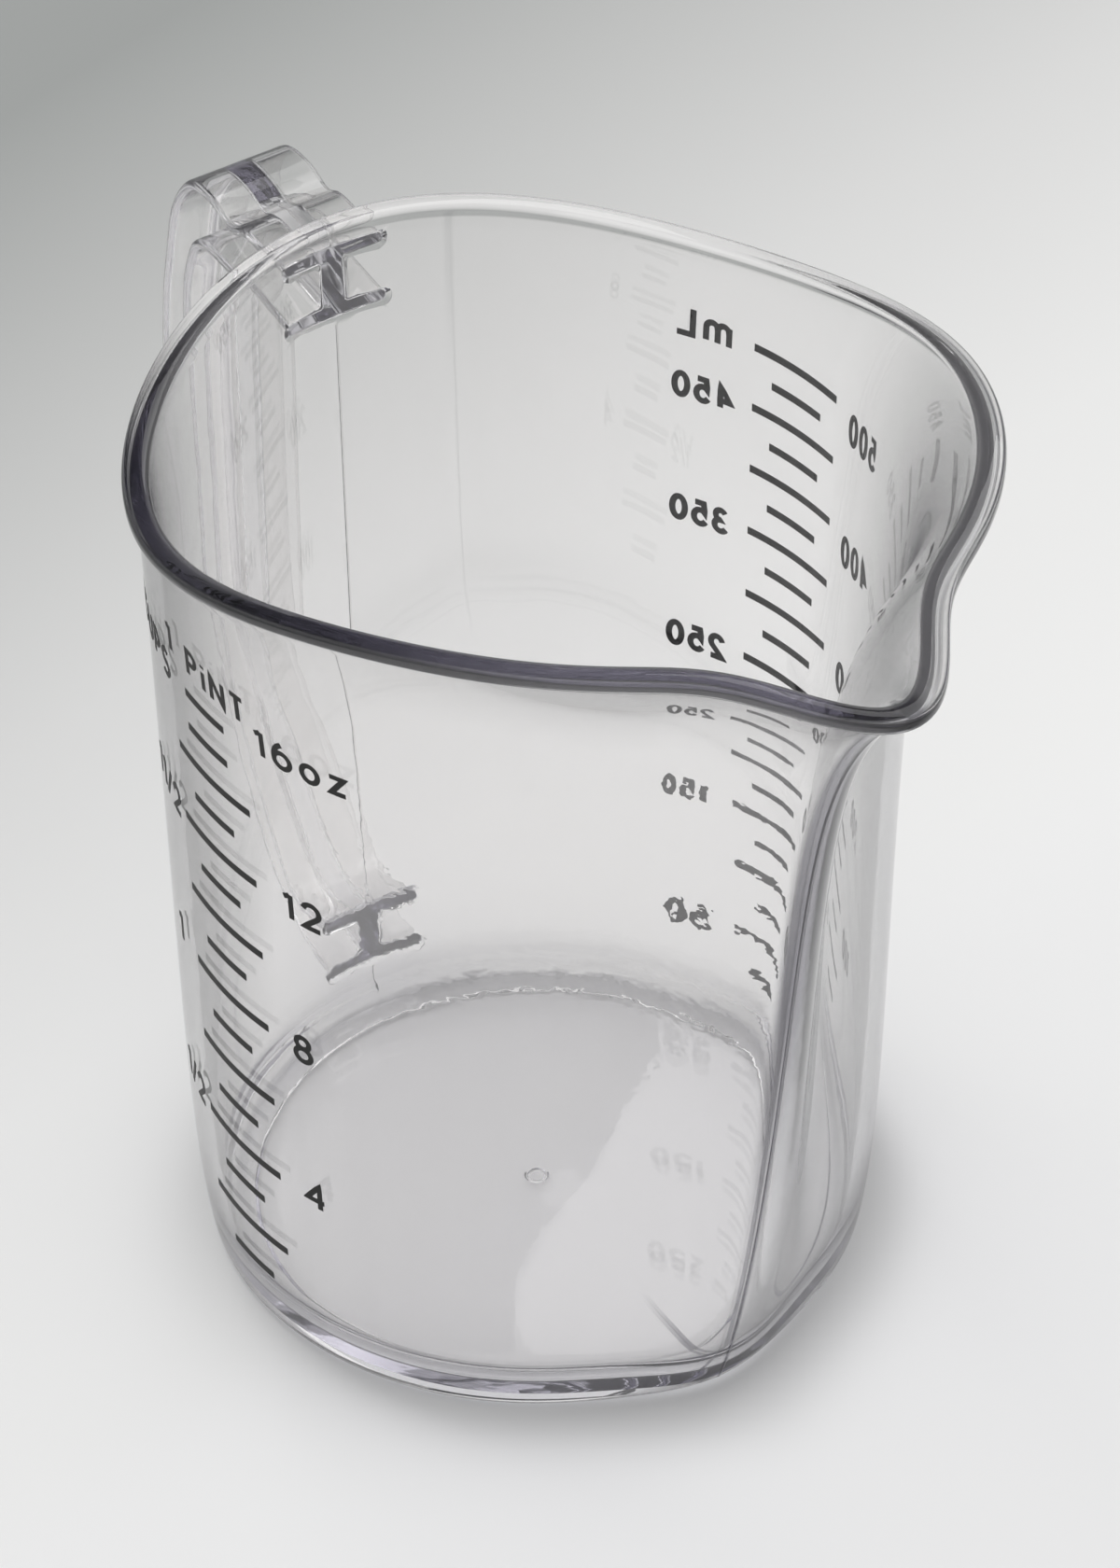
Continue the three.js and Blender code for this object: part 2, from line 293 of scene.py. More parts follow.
# The body: one thin wall of clear plastic, injection moulded upside down over a core,
# with a keel up its front that opens into the spout and a rounded lip round the rim.
# The two halves of the mould leave a fine raised line down the keel and the back.
body_radius = 40.33              # outer radius that the straight wall would have at z = 0
wall_taper = 0.0283
wall = 2.1
floor_thickness = 2.3
floor_corner = 5
foot_tuck = 1.62
foot_tuck_rise = 10.6
foot_rounding = 1.5
foot_ring_width = 3
foot_recess = 0.6
rim_at_spout = 131
rim_at_shoulder = 123.5          # 60 degrees round from the spout
rim_at_side = 115.7
rim_at_handle = 115.7
keel_depth_at_foot = 1.6
keel_depth = 13.5
keel_full_height = 100
keel_spread_at_foot = 14.7       # degrees
keel_spread_at_spout = 8.8
spout_flare = 22.3
spout_flare_rise = 21.2
spout_flare_spread = 59          # degrees
spout_flare_shape = 1.6
lip_flare = 0.35
lip_flare_rise = 16
lip_overhang = 1.1
lip_base = 1.1                   # the wall is measured this far down, and the lip stands out from there
lip_height = 1.7
lip_fillet = 0.7
lip_under_rounding = 0.35
lip_side_rounding = 0.6
lip_slope = 0.15
lip_crest = 0.9                  # the lip's highest line, inside the wall's outer face
rim_inner_width = 0.95           # from there the rim falls to the inner face
rim_inner_drop = 0.75
floor_crown = 0.4                # the floor bulges up a little in its middle
gate_dish = 0.05                 # and is drawn in round the gate
gate_dish_radius = 6
gate_radius = 1.2                # scar of the gate, in the middle of the underside
gate_depth = 0.25
gate_scar = (                    # shares of those two: a hollow with a raised ring round it
    (0.72, 1), (0.85, 0.7), (0.95, -0.5), (1.05, -0.6), (1.2, 0.0), (1.6, 0),
)
parting_height = 0.07
parting_spread = 0.16            # degrees
parting_columns = (-0.35, -0.22, -0.1, 0.1, 0.22, 0.35)   # extra ones beside each line
plain_columns = 288
wall_rows = 76                   # rings up each face of the wall
column_crowding = 0.6            # share by which the columns crowd towards the spout


def rim_height(azimuth):
    mean = ((rim_at_spout + rim_at_handle) / 2 + rim_at_side) / 2
    second = (rim_at_spout + rim_at_handle) / 2 - mean
    odd = (rim_at_spout - rim_at_handle) / 2
    first = (odd + rim_at_shoulder - mean + second / 2) / 1.5
    return (
        mean
        + first * np.cos(azimuth)
        + second * np.cos(2 * azimuth)
        + (odd - first) * np.cos(3 * azimuth)
    )


def bell(azimuth, spread, shape):
    turned = np.abs(np.arctan2(np.sin(azimuth), np.cos(azimuth)))
    return np.exp(-((turned / np.radians(spread)) ** shape))


def keel(azimuth, z):
    climb = np.clip(z / keel_full_height, 0, 1)
    depth = keel_depth - (keel_depth - keel_depth_at_foot) * (1 - climb) ** 2
    share = np.clip(z / rim_at_spout, 0, 1)
    spread = keel_spread_at_foot + (keel_spread_at_spout - keel_spread_at_foot) * share
    return depth * bell(azimuth, spread, 2)


def flare(azimuth, z):
    front = spout_flare * np.exp((z - rim_at_spout) / spout_flare_rise)
    near = np.maximum(1 - (rim_height(azimuth) - z) / lip_flare_rise, 0)
    return front * bell(azimuth, spout_flare_spread, spout_flare_shape) + lip_flare * near**2


def outer_radius(azimuth, z):
    cone = body_radius + wall_taper * z - foot_tuck * np.exp(-z / foot_tuck_rise)
    return cone + keel(azimuth, z) + flare(azimuth, z)


# The direction square to the outer face in plan, and how much longer a level line
# through the wall is than the wall is thick
def wall_direction(azimuth, z):
    step = 0.001
    radius = outer_radius(azimuth, z)
    turn = (outer_radius(azimuth + step, z) - outer_radius(azimuth - step, z)) / (2 * step)
    lean = (outer_radius(azimuth, z + step) - outer_radius(azimuth, z - step)) / (2 * step)
    length = np.hypot(radius, turn)
    along_x = (radius * np.cos(azimuth) + turn * np.sin(azimuth)) / length
    along_y = (radius * np.sin(azimuth) - turn * np.cos(azimuth)) / length
    return along_x, along_y, np.hypot(1, lean * radius / length)


# Points a level distance inside the outer face, or outside it where that is negative
def level_points(azimuth, z, inward):
    radius = outer_radius(azimuth, z)
    along_x, along_y, _ = wall_direction(azimuth, z)
    x = radius * np.cos(azimuth) - along_x * inward
    y = radius * np.sin(azimuth) - along_y * inward
    return np.stack([x, y, z + 0 * azimuth], axis=-1)


# Points a depth inside the outer face, measured square to the face
def wall_points(azimuth, z, depth):
    return level_points(azimuth, z, depth * wall_direction(azimuth, z)[2])


def column_azimuths():
    turns = np.arange(plain_columns) * 2 * np.pi / plain_columns
    azimuths = turns - column_crowding * np.sin(turns)
    beside = np.radians(parting_columns)
    both_lines = np.concatenate([beside % (2 * np.pi), np.pi + beside])
    return np.sort(np.concatenate([azimuths, both_lines]))


azimuths = column_azimuths()
rim = rim_height(azimuths)
parting_behind = parting_height * bell(azimuths + np.pi, parting_spread, 2)
parting = parting_height * bell(azimuths, parting_spread, 2) + parting_behind


def quarter(count):
    return np.linspace(0, np.pi / 2, count)


def flat_ring(radius, z):
    return np.stack([radius * np.cos(azimuths), radius * np.sin(azimuths), z + 0 * azimuths], axis=-1)


# How far the floor's two faces bulge up at a share of the way out to the foot
def crown(share):
    return floor_crown * (1 - share**2) ** 2


# Every row of the skin, from the middle of the underside, up the outer face, over
# the lip and down inside to the middle of the floor
def body_rows():
    middle = foot_recess + floor_crown
    rows = [flat_ring(0, middle + gate_depth)]
    for radius, rise in gate_scar:
        rows.append(flat_ring(gate_radius * radius, middle + gate_depth * rise))
    inner_edge = foot_rounding + foot_ring_width
    recess_edge = wall_points(azimuths, 0, inner_edge + foot_recess)
    for share in np.linspace(0.1, 1, 19):
        ring = recess_edge * share
        ring[:, 2] = foot_recess + crown(share)
        rows.append(ring)
    rows.append(wall_points(azimuths, 0, inner_edge + foot_recess * 0.3) + [0, 0, foot_recess * 0.3])
    rows.append(wall_points(azimuths, 0, inner_edge))
    rows += foot_rows() + outer_rows() + lip_rows() + inner_rows() + floor_rows()
    return rows


def foot_rows():
    rows = []
    for angle in quarter(8):
        z = foot_rounding * (1 - np.cos(angle))
        rows.append(wall_points(azimuths, z, foot_rounding * (1 - np.sin(angle)) - parting * np.sin(angle)))
    return rows


def outer_rows():
    top = rim - lip_height - lip_fillet
    rows = []
    for share in np.linspace(0, 1, wall_rows)[1:-1]:
        z = foot_rounding + (top - foot_rounding) * share
        rows.append(wall_points(azimuths, z, -parting))
    return rows


def lip_points(outward, drop):
    ring = level_points(azimuths, rim - lip_base, -outward - parting_behind)
    ring[:, 2] = rim - drop
    return ring


def lip_rows():
    rows = []
    reach = lip_overhang - lip_under_rounding
    for angle in quarter(9):
        drop = lip_height + lip_fillet * (1 - np.sin(angle))
        ridge = parting + (parting_behind - parting) * (1 - np.cos(angle))
        outward = reach * (1 - np.cos(angle)) + ridge
        rows.append(level_points(azimuths, rim - drop, -outward))
    for angle in quarter(5)[1:]:
        outward = lip_overhang - lip_under_rounding * (1 - np.sin(angle))
        rows.append(lip_points(outward, lip_height - lip_under_rounding * (1 - np.cos(angle))))
    for angle in quarter(9):
        outward = lip_overhang - lip_side_rounding * (1 - np.cos(angle))
        rows.append(lip_points(outward, lip_slope + lip_side_rounding * (1 - np.sin(angle))))
    for share in np.linspace(0, 1, 7)[1:]:
        outward = lip_overhang - lip_side_rounding - (lip_overhang - lip_side_rounding + lip_crest) * share
        rows.append(lip_points(outward, lip_slope * (1 - share) ** 2))
    for angle in quarter(10):
        z = rim - rim_inner_drop * (1 - np.cos(angle))
        across_wall = wall * wall_direction(azimuths, z)[2]
        outward = rim_inner_width * (1 - np.sin(angle))
        rows.append(level_points(azimuths, z, across_wall - outward))
    return rows


def inner_rows():
    top = rim - rim_inner_drop
    bottom = floor_thickness + floor_corner
    shares = np.linspace(0, 1, wall_rows)[1:]
    return [wall_points(azimuths, top + (bottom - top) * share, wall) for share in shares]


def floor_rows():
    rows = []
    for angle in quarter(12)[::-1][1:]:
        z = floor_thickness + floor_corner * (1 - np.cos(angle))
        rows.append(wall_points(azimuths, z, wall + floor_corner * (1 - np.sin(angle))))
    corner = rows[-1]
    for share in np.concatenate([np.linspace(0.97, 0.2, 20), [0.16, 0.13, 0.1, 0.07, 0.04, 0]]):
        ring = corner * share
        out = np.hypot(ring[:, 0], ring[:, 1])
        dish = gate_dish * (1 + np.cos(np.pi * np.minimum(out / gate_dish_radius, 1))) / 2
        ring[:, 2] = floor_thickness + crown(share) - dish
        rows.append(ring)
    return rows


# All faces of a closed shape look the same way first, and then outwards.
def face_outwards(shape):
    bmesh.ops.recalc_face_normals(shape, faces=shape.faces)
    if shape.calc_volume(signed=True) < 0:
        bmesh.ops.reverse_faces(shape, faces=shape.faces)


# A plain tube is turned first, with one ring for each row, and every ring is then
# moved to its row's place. The two end rings are points on the axis.
def turned_body():
    rows = np.array(body_rows())
    columns = len(azimuths)
    shell = bmesh.new()
    last = len(rows) - 1
    profile = [shell.verts.new((0 if row in (0, last) else 1, 0, row)) for row in range(len(rows))]
    edges = [shell.edges.new(pair) for pair in zip(profile, profile[1:])]
    bmesh.ops.spin(
        shell,
        geom=profile + edges,
        cent=(0, 0, 0),
        axis=(0, 0, 1),
        angle=2 * math.pi,
        steps=columns,
        use_merge=True,
    )
    bmesh.ops.remove_doubles(shell, verts=shell.verts, dist=0.001)
    for vertex in shell.verts:
        column = round(math.atan2(vertex.co.y, vertex.co.x) * columns / (2 * math.pi)) % columns
        vertex.co = rows[round(vertex.co.z), column]
    face_outwards(shell)
    return shell


# Millimetres in the jug's axes become metres in the frame.
def settled(name, shape):
    bmesh.ops.translate(shape, verts=shape.verts, vec=(axis_shift, 0, 0))
    bmesh.ops.scale(shape, verts=shape.verts, vec=(millimetre, millimetre, millimetre))
    mesh = bpy.data.meshes.new(name)
    shape.to_mesh(mesh)
    shape.free()
    thing = bpy.data.objects.new(name, mesh)
    scene.collection.objects.link(thing)
    return thing


jug = settled("clear_jug", turned_body())

# The handle: the same clear plastic in the same moulding, an I section with two
# flanges and a web between them. Its ends run into the wall with a small fillet, and
# a shallow dip in the upper arm leaves a rest for the thumb.
handle_width = 13.4
flange = 1.4
flange_rounding = 0.62
web = 2.8
web_fillet = 0.6
grip_reach = 73.3
grip_depth = 6.8
handle_top = rim_at_handle - 3.6
handle_foot = 6.5
grip_middle = (handle_top + handle_foot) / 2
upper_arm_depth = 9.5
lower_arm_depth = 8.8
thumb_dip = 1.4
thumb_drop = 0.4
wall_fillet = 0.7                # between the handle's ends and the wall
root_depth = 1.0                 # how far the ends run into the wall
handle_stations = 130            # sections along it, without the close ones at its ends


# A smooth line through corners, as many points long as asked
def line_through(corners):
    corners = np.array(corners, float)
    knots = np.concatenate([[0], np.cumsum(np.linalg.norm(np.diff(corners, axis=0), axis=1) ** 0.5)])
    ahead = 2 * corners[-1] - corners[-2]
    behind = 2 * corners[0] - corners[1]
    padded = np.vstack([behind, corners, ahead])
    steps = np.concatenate([[2 * knots[0] - knots[1]], knots, [2 * knots[-1] - knots[-2]]])
    points = []
    for i in range(1, len(padded) - 2):
        t0, t1, t2, t3 = steps[i - 1:i + 3]
        p0, p1, p2, p3 = padded[i - 1:i + 3]
        for t in np.linspace(t1, t2, 24, endpoint=False):
            a1 = (t1 - t) / (t1 - t0) * p0 + (t - t0) / (t1 - t0) * p1
            a2 = (t2 - t) / (t2 - t1) * p1 + (t - t1) / (t2 - t1) * p2
            a3 = (t3 - t) / (t3 - t2) * p2 + (t - t2) / (t3 - t2) * p3
            b1 = (t2 - t) / (t2 - t0) * a1 + (t - t0) / (t2 - t0) * a2
            b2 = (t3 - t) / (t3 - t1) * a2 + (t - t1) / (t3 - t1) * a3
            points.append((t2 - t) / (t2 - t1) * b1 + (t - t1) / (t2 - t1) * b2)
    points.append(corners[-1])
    return np.array(points)


def root_reach(z):
    return float(outer_radius(np.pi, z)) - root_depth


def outer_corners():
    reach = grip_reach
    return [
        (root_reach(handle_top), handle_top),
        (reach - 25, handle_top),
        (reach - 21.3, handle_top - thumb_dip * 0.15),
        (reach - 18.7, handle_top - thumb_dip),
        (reach - 15.5, handle_top - thumb_drop - 0.1),
        (reach - 12.3, handle_top - thumb_drop),
        (reach - 9.4, handle_top - thumb_drop - 0.8),
        (reach - 7.1, handle_top - 3.4),
        (reach - 4.5, handle_top - 8),
        (reach - 2.6, handle_top - 16.2),
        (reach - 1.3, handle_top - 24.1),
        (reach, grip_middle),
        (reach - 0.8, handle_foot + 31.5),
        (reach - 4.3, handle_foot + 19.5),
        (reach - 10.3, handle_foot + 10.5),
        (reach - 18.3, handle_foot + 4),
        (reach - 26.3, handle_foot + 0.7),
        (root_reach(handle_foot), handle_foot),
    ]


def finger_corners():
    front = grip_reach - grip_depth
    top = handle_top - upper_arm_depth
    bottom = handle_foot + lower_arm_depth
    return [
        (root_reach(top), top),
        (front - 12, top + 0.1),
        (front - 5.8, top - 0.2),
        (front - 3.5, top - 1.7),
        (front - 2.2, top - 4.6),
        (front - 1.1, top - 8.9),
        (front - 0.2, top - 28.6),
        (front, grip_middle - 12),
        (front - 0.5, bottom + 17.7),
        (front - 3.5, bottom + 12.2),
        (front - 9.1, bottom + 5.2),
        (front - 12.7, bottom + 1.2),
        (front - 16.9, bottom - 1.9),
        (front - 20.5, bottom - 2.1),
        (root_reach(bottom), bottom),
    ]


# Stations along a line, close together at both ends where the fillets are
def stations(line, count):
    lengths = np.concatenate([[0], np.cumsum(np.linalg.norm(np.diff(line, axis=0), axis=1))])
    near = np.array([0, 0.5, 0.9, 1.0, 1.06, 1.13, 1.22, 1.33, 1.47, 1.65, 1.9, 2.3, 3])
    middle = np.linspace(near[-1], lengths[-1] - near[-1], count)[1:-1]
    wanted = np.concatenate([near, middle, lengths[-1] - near[::-1]])
    places = np.stack([np.interp(wanted, lengths, line[:, axis]) for axis in (0, 1)], axis=-1)
    along = np.gradient(places, axis=0)
    along /= np.linalg.norm(along, axis=1)[:, None]
    return places, np.stack([along[:, 1], -along[:, 0]], axis=-1)


# Half of the I section, from the middle of the outer face round to the middle of the
# finger face: which line a point belongs to, how deep it lies under that line's face
# and how far it stands to the side
def section_half(grown):
    side = handle_width / 2 + grown
    web_side = web / 2 + grown
    turn = flange_rounding + grown
    edge = flange + grown
    bend = quarter(6)
    upper = [(0, -grown, 0), (0, -grown, side * 0.5)]
    upper += [(0, turn * (1 - math.cos(a)) - grown, side - turn * (1 - math.sin(a))) for a in bend]
    upper += [(0, edge - turn * (1 - math.sin(a)), side - turn * (1 - math.cos(a))) for a in bend]
    for a in bend:
        upper.append((0, edge + web_fillet * (1 - math.cos(a)), web_side + web_fillet * (1 - math.sin(a))))
    lower = [(1, depth, across) for _, depth, across in reversed(upper)]
    return upper + lower


def section(grown):
    half = section_half(grown)
    return half + [(line, depth, -across) for line, depth, across in reversed(half[1:-1])]


def handle_places():
    outer, outer_side = stations(line_through(outer_corners()), handle_stations)
    finger, finger_side = stations(line_through(finger_corners()), handle_stations)
    faces = (outer, finger)
    inwards = (outer_side, -finger_side)

    def laid(grown):
        columns = []
        for line, depth, across in section(grown):
            reach_z = faces[line] + inwards[line] * depth
            columns.append(np.stack([-reach_z[:, 0], 0 * reach_z[:, 0] + across, reach_z[:, 1]], axis=-1))
        return np.stack(columns, axis=1)

    bare = laid(0)
    filled = laid(wall_fillet) - bare
    x, y, z = np.moveaxis(bare, -1, 0)
    clear = np.hypot(x, y) - outer_radius(np.arctan2(y, x), z)
    left = wall_fillet - np.clip(clear, 0, wall_fillet)
    share = 1 - np.sqrt(np.maximum(1 - (left / wall_fillet) ** 2, 0))
    return bare + filled * share[..., None]


# A grid is rolled up into a closed bar of that section, and its ends are capped.
def swept_handle():
    places = handle_places()
    along, around = places.shape[:2]
    bar = bmesh.new()
    bmesh.ops.create_grid(bar, x_segments=along - 1, y_segments=around, size=1)
    for vertex in bar.verts:
        i = round((vertex.co.x + 1) / 2 * (along - 1))
        j = round((vertex.co.y + 1) / 2 * around) % around
        vertex.co = places[i, j]
    bmesh.ops.remove_doubles(bar, verts=bar.verts, dist=1e-6)
    bmesh.ops.holes_fill(bar, edges=[edge for edge in bar.edges if edge.is_boundary])
    face_outwards(bar)
    return bar


handle = settled("handle_bar", swept_handle())
joined = jug.modifiers.new("joined", "BOOLEAN")
joined.operation = "UNION"
joined.solver = "EXACT"
joined.object = handle
moulding = bpy.data.meshes.new_from_object(jug.evaluated_get(bpy.context.evaluated_depsgraph_get()))
jug.modifiers.clear()
jug.data = moulding
bpy.data.objects.remove(handle)
moulding.shade_smooth()
moulding.set_sharp_from_angle(angle=math.radians(32))


# Keeps on the moulding how far each of its points is up into the lip, from 0 to 1
def mark_lip():
    places = np.empty(3 * len(moulding.vertices), dtype=np.float32)
    moulding.vertices.foreach_get("co", places)
    x, y, z = places.reshape(-1, 3).T / millimetre
    below_rim = rim_height(np.arctan2(y, x - axis_shift)) - z
    in_lip = (lip_height + lip_fillet - below_rim) / lip_fillet
    shares = moulding.attributes.new("in_lip", "FLOAT", "POINT")
    shares.data.foreach_set("value", np.clip(in_lip, 0, 1).astype(np.float32))


mark_lip()

clear_material, nodes, links, shader = new_material("clear_polycarbonate")
clear_colour = (0.985, 0.98, 0.975, 1)
# Painted shade: the four darker colours below darken the jug's floor, the keel, the lip and grazed edges.
floor_painted_shade = (0.885, 0.878, 0.873, 1)
keel_painted_shade = (0.17, 0.165, 0.19, 1)
lip_painted_shade = (0.10, 0.10, 0.11, 1)
grazing_painted_shade = (0.06, 0.06, 0.065, 1)
shadow_tint = (0.975, 0.975, 0.98, 1)
corner_tint = (0.30, 0.30, 0.31, 1)
volume_tint = (0.20, 0.17, 0.33, 1)
darkest_azimuth = view_azimuth - math.radians(62)

# Painted shade: the floor with its corner, and the keel up to the spout with a dark line down its front,
# are darkened in colour.
# Places are in metres here.
place = nodes.new("ShaderNodeTexCoord").outputs["Object"]
where = parts_of(place)
low = between(where["Z"], 0.014, 0.004)
upward = parts_of(nodes.new("ShaderNodeNewGeometry").outputs["Normal"])["Z"]
level = times(upward, upward)
# Painted shade: the jug's floor is darkened in colour.
floor_shade_share = times(low, between(level, 0.6, 0.95))
# Painted shade: a dark line and a dark band down the front of the keel.
keel_side = times(between(where["Y"], -0.0014, -0.0004), between(where["Y"], 0.0036, 0.001))
keel_line = times(between(where["Y"], -0.0004, -0.0002), between(where["Y"], 0.0004, 0.0002))
keel_band = times(keel_side, between(where["Z"], 0.012, 0.075))
keel_shade_share = times(larger(keel_line, keel_band), between(where["X"], 0.02, 0.03))

# Painted shade: the lip is darkened at the left of the front, and every face is darkened where it is
# grazed.
to_darkest = measured("DOT_PRODUCT", place, direction_to(darkest_azimuth, 0))
in_lip = nodes.new("ShaderNodeAttribute")
in_lip.attribute_name = "in_lip"
lip_shade_share = times(between(to_darkest, 0.018, 0.041), in_lip.outputs["Fac"])
# Painted shade: faces seen at a grazing angle are darkened in colour.
facing = nodes.new("ShaderNodeLayerWeight")
facing.inputs["Blend"].default_value = 0.5
grazed_shade_share = ranged(facing.outputs["Facing"], 0.5, 0.95)
colour = mixed(keel_shade_share, mixed(floor_shade_share, clear_colour, floor_painted_shade), keel_painted_shade)
colour = mixed(grazed_shade_share, mixed(lip_shade_share, colour, lip_painted_shade), grazing_painted_shade)
links.new(colour, shader.inputs["Base Color"])
shader.inputs["IOR"].default_value = 1.585
shader.inputs["Transmission Weight"].default_value = 0.988

# The polish varies a little, and the face is never quite flat: slow waves, fine upright
# lines that the core left as it was drawn out, and a dull patch on the front wall beside
# the keel, where the mould's polish is gone.
flow = noise(place, scale=60)
links.new(ranged(flow, 0, 1, low=0, high=0.015), shader.inputs["Roughness"])
waves = bumped(flow, strength=0.04, distance=0.0005)
draw_lines = noise(mapped(place, "Scale", (1, 1, 0.02)), scale=350)
lined = bumped(draw_lines, strength=0.06, distance=0.00003, normal=waves)
patch_middle = (0.036, -0.014, 0.078)
patch = between(measured("DISTANCE", place, patch_middle), 0.04, 0.015)
peel = times(noise(place, scale=700, detail=1), patch)
peeled = bumped(peel, strength=0.5, distance=0.000012, normal=lined)
links.new(peeled, shader.inputs["Normal"])

# Shadow rays and rays from matt surfaces go straight through, with a tint.
ray = nodes.new("ShaderNodeLightPath").outputs
let_through = nodes.new("ShaderNodeBsdfTransparent")
corner = times(low, between(level, 0.9, 0.4))
links.new(mixed(corner, shadow_tint, corner_tint), let_through.inputs["Color"])
either = nodes.new("ShaderNodeMixShader")
links.new(larger(ray["Is Shadow Ray"], ray["Is Diffuse Ray"]), either.inputs["Fac"])
links.new(shader.outputs["BSDF"], either.inputs[1])
links.new(let_through.outputs["BSDF"], either.inputs[2])
links.new(either.outputs["Shader"], nodes["Material Output"].inputs["Surface"])
tint = nodes.new("ShaderNodeVolumeAbsorption")
tint.inputs["Color"].default_value = volume_tint
tint.inputs["Density"].default_value = 11
links.new(tint.outputs["Volume"], nodes["Material Output"].inputs["Volume"])
moulding.materials.clear()
moulding.materials.append(clear_material)
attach(jug, "root")
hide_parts("vessel", "handle")

# The ounce scale: pad-printed black ink, a thin film that follows the wall. Sixteen
# marks stand where the body holds each fluid ounce, and every second one is long, but
# not the last.
ounce = 29.5735                  # millilitres
ounce_marks = 16
ounce_azimuth = -87              # degrees round from the spout
ounce_long = 14.8
ounce_short = 8.1
mark_height = 1.05
ink_sunk = 0.02                  # the film's back lies in the plastic, as real ink bonds to it
ink_proud = 0.04
fine_step = 0.7                  # longest piece of a printed line

ink_material, nodes, links, shader = new_material("black_ink")
place = nodes.new("ShaderNodeTexCoord").outputs["Object"]
speckle = noise(place, scale=2500)
ink_dark = (0.004, 0.004, 0.004, 1)
ink_light = (0.014, 0.014, 0.013, 1)
links.new(ramp(speckle, [(0, ink_dark), (1, ink_light)]), shader.inputs["Base Color"])
links.new(ranged(speckle, 0, 1, low=0.35, high=0.6), shader.inputs["Roughness"])
shader.inputs["Specular IOR Level"].default_value = 0.25


# Area inside the body at one height, from its ring of points
def inner_area(z):
    rise = min((z - floor_thickness) / floor_corner, 1)
    corner = floor_corner * (1 - math.sqrt(1 - (1 - rise) ** 2))
    x, y, _ = wall_points(azimuths, z, wall + corner).T
    return abs(np.dot(x, np.roll(y, -1)) - np.dot(y, np.roll(x, -1))) / 2


# Heights at which the body holds each volume in turn, in millilitres
def levels_for(volumes):
    cut = 0.5                    # height of one slice of the inside
    levels = []
    z = floor_thickness
    held = 0
    while len(levels) < len(volumes):
        added = inner_area(z + cut / 2) * cut / 1000
        while len(levels) < len(volumes) and held + added >= volumes[len(levels)]:
            levels.append(z + cut * (volumes[len(levels)] - held) / added)
        held += added
        z += cut
    return levels


# One stroke of ink: a flat ribbon along a line of points, of one breadth throughout.
# Its points are to the right of the scale's middle and above z = 0, seen from outside.
def ribbon(print_shape, azimuth, points, breadth, closed=False):
    points = np.array(points, float)
    ends = np.vstack([points, points[:1]]) if closed else points
    fine = [ends[0]]
    for start, end in zip(ends, ends[1:]):
        count = max(1, math.ceil(np.linalg.norm(end - start) / fine_step))
        fine += [start + (end - start) * i / count for i in range(1, count + 1)]
    line = np.array(fine)
    before = np.roll(line, 1, axis=0)
    after = np.roll(line, -1, axis=0)
    if closed:
        before[0] = line[-2]
        after[-1] = line[1]
    else:
        before[0] = 2 * line[0] - line[1]
        after[-1] = 2 * line[-1] - line[-2]
    into = (line - before) / np.linalg.norm(line - before, axis=1)[:, None]
    out_of = (after - line) / np.linalg.norm(after - line, axis=1)[:, None]
    along = (into + out_of) / np.linalg.norm(into + out_of, axis=1)[:, None]
    mitre = 1 / np.maximum(np.sum(along * into, axis=1), 0.5)
    aside = np.stack([-along[:, 1], along[:, 0]], axis=-1) * (breadth / 2 * mitre)[:, None]
    lay_film(print_shape, azimuth, line, aside, closed)


def lay_film(print_shape, azimuth, line, aside, closed):
    film = bmesh.new()
    last = len(line) - 1
    bmesh.ops.create_grid(film, x_segments=last, y_segments=4, size=1)
    corners = ((-1, -ink_sunk), (1, -ink_sunk), (1, ink_proud), (-1, ink_proud), (-1, -ink_sunk))
    for vertex in film.verts:
        i = round((vertex.co.x + 1) / 2 * last)
        aside_share, outward = corners[round((vertex.co.y + 1) * 2)]
        place = 0 if closed and i == last else i
        across, z = line[place] + aside[place] * aside_share
        around = math.radians(azimuth) + across / float(outer_radius(math.radians(azimuth), z))
        vertex.co = wall_points(np.array(around), np.array(z), -outward)
    bmesh.ops.remove_doubles(film, verts=film.verts, dist=1e-5)
    bmesh.ops.holes_fill(film, edges=[edge for edge in film.edges if edge.is_boundary])
    face_outwards(film)
    part = bpy.data.meshes.new("film")
    film.to_mesh(part)
    film.free()
    print_shape.from_mesh(part)
    bpy.data.meshes.remove(part)


def printed(name, print_shape):
    piece = settled(name, print_shape)
    piece.data.materials.append(ink_material)
    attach(piece, "root")
    return piece


def print_marks(azimuth, step, count, length_of, node_of):
    volumes = [step * (i + 1) for i in range(count)]
    for number, z in enumerate(levels_for(volumes), start=1):
        half = length_of(number) / 2
        shape = bmesh.new()
        ribbon(shape, azimuth, [(-half, z), (half, z)], mark_height)
        mark = printed("print_" + node_of(number), shape)
        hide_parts(node_of(number))


def ounce_length(number):
    return ounce_long if number % 2 == 0 and number < ounce_marks else ounce_short


print_marks(ounce_azimuth, ounce, ounce_marks, ounce_length, lambda number: f"ounce_mark_{number:02d}")


# The numbers and words beside and above it are drawn with an even pen. Each glyph
# is a width and some strokes in a box one unit high, and a ring closes on itself.
def bow(x, y, across, up, start, end, count=14):
    angles = np.radians(np.linspace(start, end, count))
    return [(x + across * math.cos(a), y + up * math.sin(a)) for a in angles]


def loop(x, y, across, up):
    return bow(x, y, across, up, 0, 345, 24)


